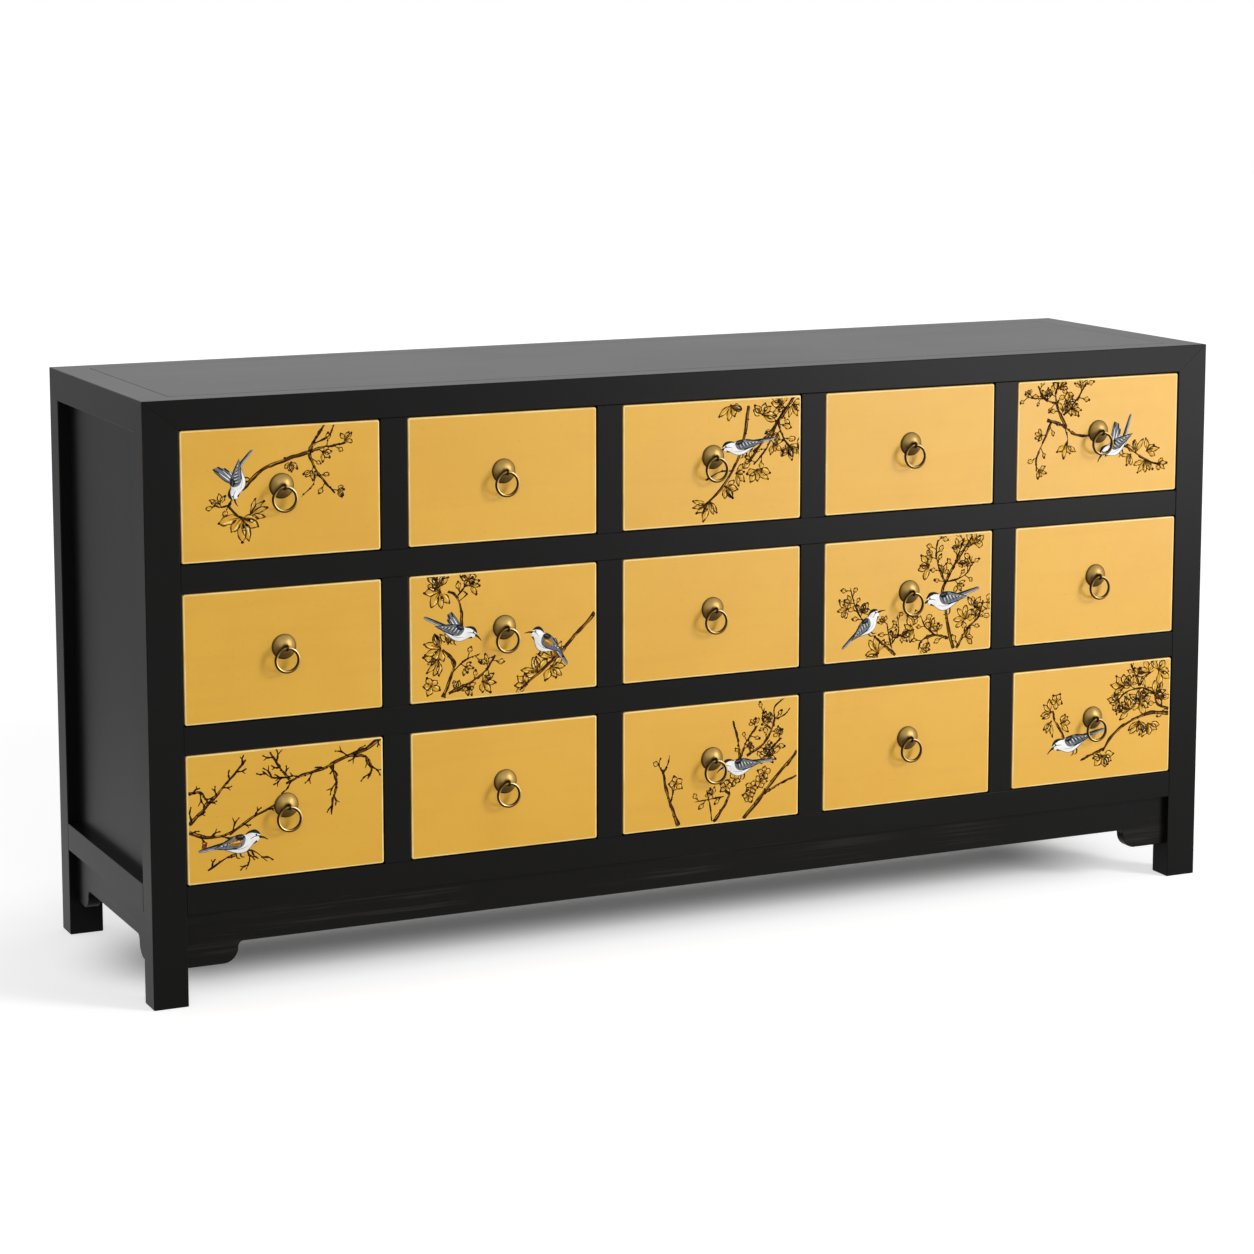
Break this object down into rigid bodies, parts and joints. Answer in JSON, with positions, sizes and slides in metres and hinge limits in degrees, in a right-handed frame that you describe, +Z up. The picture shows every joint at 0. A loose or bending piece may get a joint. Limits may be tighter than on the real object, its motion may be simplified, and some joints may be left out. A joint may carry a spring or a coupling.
{
  "type": "drawer cabinet",
  "caption": "Long low drawer cabinet with a black lacquered frame on square legs, flush mustard drawer fronts in a grid, shaped aprons, and brass plates with hanging rings.",
  "frame": {"origin": "on the floor under the middle of the whole footprint, rings included", "axes": "+X to the right as seen from the front, +Y to the back, +Z up; the front faces -Y"},
  "size_m": [1.5, 0.4164, 0.74],
  "materials": {
    "black_lacquer": "satin black lacquer over wood",
    "mustard_lacquer": "satin mustard lacquer on the drawer fronts, bare wood behind",
    "bare_wood": "planed, unfinished",
    "antique_brass": "antiqued, rubbed bright on the high spots"
  },
  "bodies": {
    "carcass": {"corner_posts": "black_lacquer", "top_rails": "black_lacquer", "top_panel": "black_lacquer", "top_battens": "bare_wood", "front_rails": "black_lacquer", "front_stiles": "black_lacquer", "rear_rails": "bare_wood", "side_rails": "black_lacquer", "side_panels": "black_lacquer", "back_panel": "black_lacquer", "bottom_board": "bare_wood", "long_aprons": "black_lacquer", "side_aprons": "black_lacquer", "drawer_runners": "bare_wood", "drawer_stops": "bare_wood"},
    "top_1_drawer": {"drawer_top_1": "mustard_lacquer", "pull_plate_top_1": "antique_brass"},
    "top_1_ring": {"ring_top_1": "antique_brass"},
    "top_2_drawer": {"drawer_top_2": "mustard_lacquer", "pull_plate_top_2": "antique_brass"},
    "top_2_ring": {"ring_top_2": "antique_brass"},
    "top_3_drawer": {"drawer_top_3": "mustard_lacquer", "pull_plate_top_3": "antique_brass"},
    "top_3_ring": {"ring_top_3": "antique_brass"},
    "top_4_drawer": {"drawer_top_4": "mustard_lacquer", "pull_plate_top_4": "antique_brass"},
    "top_4_ring": {"ring_top_4": "antique_brass"},
    "top_5_drawer": {"drawer_top_5": "mustard_lacquer", "pull_plate_top_5": "antique_brass"},
    "top_5_ring": {"ring_top_5": "antique_brass"},
    "middle_1_drawer": {"drawer_middle_1": "mustard_lacquer", "pull_plate_middle_1": "antique_brass"},
    "middle_1_ring": {"ring_middle_1": "antique_brass"},
    "middle_2_drawer": {"drawer_middle_2": "mustard_lacquer", "pull_plate_middle_2": "antique_brass"},
    "middle_2_ring": {"ring_middle_2": "antique_brass"},
    "middle_3_drawer": {"drawer_middle_3": "mustard_lacquer", "pull_plate_middle_3": "antique_brass"},
    "middle_3_ring": {"ring_middle_3": "antique_brass"},
    "middle_4_drawer": {"drawer_middle_4": "mustard_lacquer", "pull_plate_middle_4": "antique_brass"},
    "middle_4_ring": {"ring_middle_4": "antique_brass"},
    "middle_5_drawer": {"drawer_middle_5": "mustard_lacquer", "pull_plate_middle_5": "antique_brass"},
    "middle_5_ring": {"ring_middle_5": "antique_brass"},
    "bottom_1_drawer": {"drawer_bottom_1": "mustard_lacquer", "pull_plate_bottom_1": "antique_brass"},
    "bottom_1_ring": {"ring_bottom_1": "antique_brass"},
    "bottom_2_drawer": {"drawer_bottom_2": "mustard_lacquer", "pull_plate_bottom_2": "antique_brass"},
    "bottom_2_ring": {"ring_bottom_2": "antique_brass"},
    "bottom_3_drawer": {"drawer_bottom_3": "mustard_lacquer", "pull_plate_bottom_3": "antique_brass"},
    "bottom_3_ring": {"ring_bottom_3": "antique_brass"},
    "bottom_4_drawer": {"drawer_bottom_4": "mustard_lacquer", "pull_plate_bottom_4": "antique_brass"},
    "bottom_4_ring": {"ring_bottom_4": "antique_brass"},
    "bottom_5_drawer": {"drawer_bottom_5": "mustard_lacquer", "pull_plate_bottom_5": "antique_brass"},
    "bottom_5_ring": {"ring_bottom_5": "antique_brass"}
  },
  "joints": [
    {"name": "top_1_slide", "type": "slide", "parent": "carcass", "child": "top_1_drawer", "axis": [0, -1, 0], "range_m": [0, 0.26]},
    {"name": "top_1_swing", "type": "hinge", "parent": "top_1_drawer", "child": "top_1_ring", "pos_m": [-0.5784, -0.204, 0.62983], "axis": [-1, 0, 0], "range_deg": [-15, 150]},
    {"name": "top_2_slide", "type": "slide", "parent": "carcass", "child": "top_2_drawer", "axis": [0, -1, 0], "range_m": [0, 0.26]},
    {"name": "top_2_swing", "type": "hinge", "parent": "top_2_drawer", "child": "top_2_ring", "pos_m": [-0.2892, -0.204, 0.62983], "axis": [-1, 0, 0], "range_deg": [-15, 150]},
    {"name": "top_3_slide", "type": "slide", "parent": "carcass", "child": "top_3_drawer", "axis": [0, -1, 0], "range_m": [0, 0.26]},
    {"name": "top_3_swing", "type": "hinge", "parent": "top_3_drawer", "child": "top_3_ring", "pos_m": [0, -0.204, 0.62983], "axis": [-1, 0, 0], "range_deg": [-15, 150]},
    {"name": "top_4_slide", "type": "slide", "parent": "carcass", "child": "top_4_drawer", "axis": [0, -1, 0], "range_m": [0, 0.26]},
    {"name": "top_4_swing", "type": "hinge", "parent": "top_4_drawer", "child": "top_4_ring", "pos_m": [0.2892, -0.204, 0.62983], "axis": [-1, 0, 0], "range_deg": [-15, 150]},
    {"name": "top_5_slide", "type": "slide", "parent": "carcass", "child": "top_5_drawer", "axis": [0, -1, 0], "range_m": [0, 0.26]},
    {"name": "top_5_swing", "type": "hinge", "parent": "top_5_drawer", "child": "top_5_ring", "pos_m": [0.5784, -0.204, 0.62983], "axis": [-1, 0, 0], "range_deg": [-15, 150]},
    {"name": "middle_1_slide", "type": "slide", "parent": "carcass", "child": "middle_1_drawer", "axis": [0, -1, 0], "range_m": [0, 0.26]},
    {"name": "middle_1_swing", "type": "hinge", "parent": "middle_1_drawer", "child": "middle_1_ring", "pos_m": [-0.5784, -0.204, 0.4335], "axis": [-1, 0, 0], "range_deg": [-15, 150]},
    {"name": "middle_2_slide", "type": "slide", "parent": "carcass", "child": "middle_2_drawer", "axis": [0, -1, 0], "range_m": [0, 0.26]},
    {"name": "middle_2_swing", "type": "hinge", "parent": "middle_2_drawer", "child": "middle_2_ring", "pos_m": [-0.2892, -0.204, 0.4335], "axis": [-1, 0, 0], "range_deg": [-15, 150]},
    {"name": "middle_3_slide", "type": "slide", "parent": "carcass", "child": "middle_3_drawer", "axis": [0, -1, 0], "range_m": [0, 0.26]},
    {"name": "middle_3_swing", "type": "hinge", "parent": "middle_3_drawer", "child": "middle_3_ring", "pos_m": [0, -0.204, 0.4335], "axis": [-1, 0, 0], "range_deg": [-15, 150]},
    {"name": "middle_4_slide", "type": "slide", "parent": "carcass", "child": "middle_4_drawer", "axis": [0, -1, 0], "range_m": [0, 0.26]},
    {"name": "middle_4_swing", "type": "hinge", "parent": "middle_4_drawer", "child": "middle_4_ring", "pos_m": [0.2892, -0.204, 0.4335], "axis": [-1, 0, 0], "range_deg": [-15, 150]},
    {"name": "middle_5_slide", "type": "slide", "parent": "carcass", "child": "middle_5_drawer", "axis": [0, -1, 0], "range_m": [0, 0.26]},
    {"name": "middle_5_swing", "type": "hinge", "parent": "middle_5_drawer", "child": "middle_5_ring", "pos_m": [0.5784, -0.204, 0.4335], "axis": [-1, 0, 0], "range_deg": [-15, 150]},
    {"name": "bottom_1_slide", "type": "slide", "parent": "carcass", "child": "bottom_1_drawer", "axis": [0, -1, 0], "range_m": [0, 0.26]},
    {"name": "bottom_1_swing", "type": "hinge", "parent": "bottom_1_drawer", "child": "bottom_1_ring", "pos_m": [-0.5784, -0.204, 0.23717], "axis": [-1, 0, 0], "range_deg": [-15, 150]},
    {"name": "bottom_2_slide", "type": "slide", "parent": "carcass", "child": "bottom_2_drawer", "axis": [0, -1, 0], "range_m": [0, 0.26]},
    {"name": "bottom_2_swing", "type": "hinge", "parent": "bottom_2_drawer", "child": "bottom_2_ring", "pos_m": [-0.2892, -0.204, 0.23717], "axis": [-1, 0, 0], "range_deg": [-15, 150]},
    {"name": "bottom_3_slide", "type": "slide", "parent": "carcass", "child": "bottom_3_drawer", "axis": [0, -1, 0], "range_m": [0, 0.26]},
    {"name": "bottom_3_swing", "type": "hinge", "parent": "bottom_3_drawer", "child": "bottom_3_ring", "pos_m": [0, -0.204, 0.23717], "axis": [-1, 0, 0], "range_deg": [-15, 150]},
    {"name": "bottom_4_slide", "type": "slide", "parent": "carcass", "child": "bottom_4_drawer", "axis": [0, -1, 0], "range_m": [0, 0.26]},
    {"name": "bottom_4_swing", "type": "hinge", "parent": "bottom_4_drawer", "child": "bottom_4_ring", "pos_m": [0.2892, -0.204, 0.23717], "axis": [-1, 0, 0], "range_deg": [-15, 150]},
    {"name": "bottom_5_slide", "type": "slide", "parent": "carcass", "child": "bottom_5_drawer", "axis": [0, -1, 0], "range_m": [0, 0.26]},
    {"name": "bottom_5_swing", "type": "hinge", "parent": "bottom_5_drawer", "child": "bottom_5_ring", "pos_m": [0.5784, -0.204, 0.23717], "axis": [-1, 0, 0], "range_deg": [-15, 150]}
  ]
}
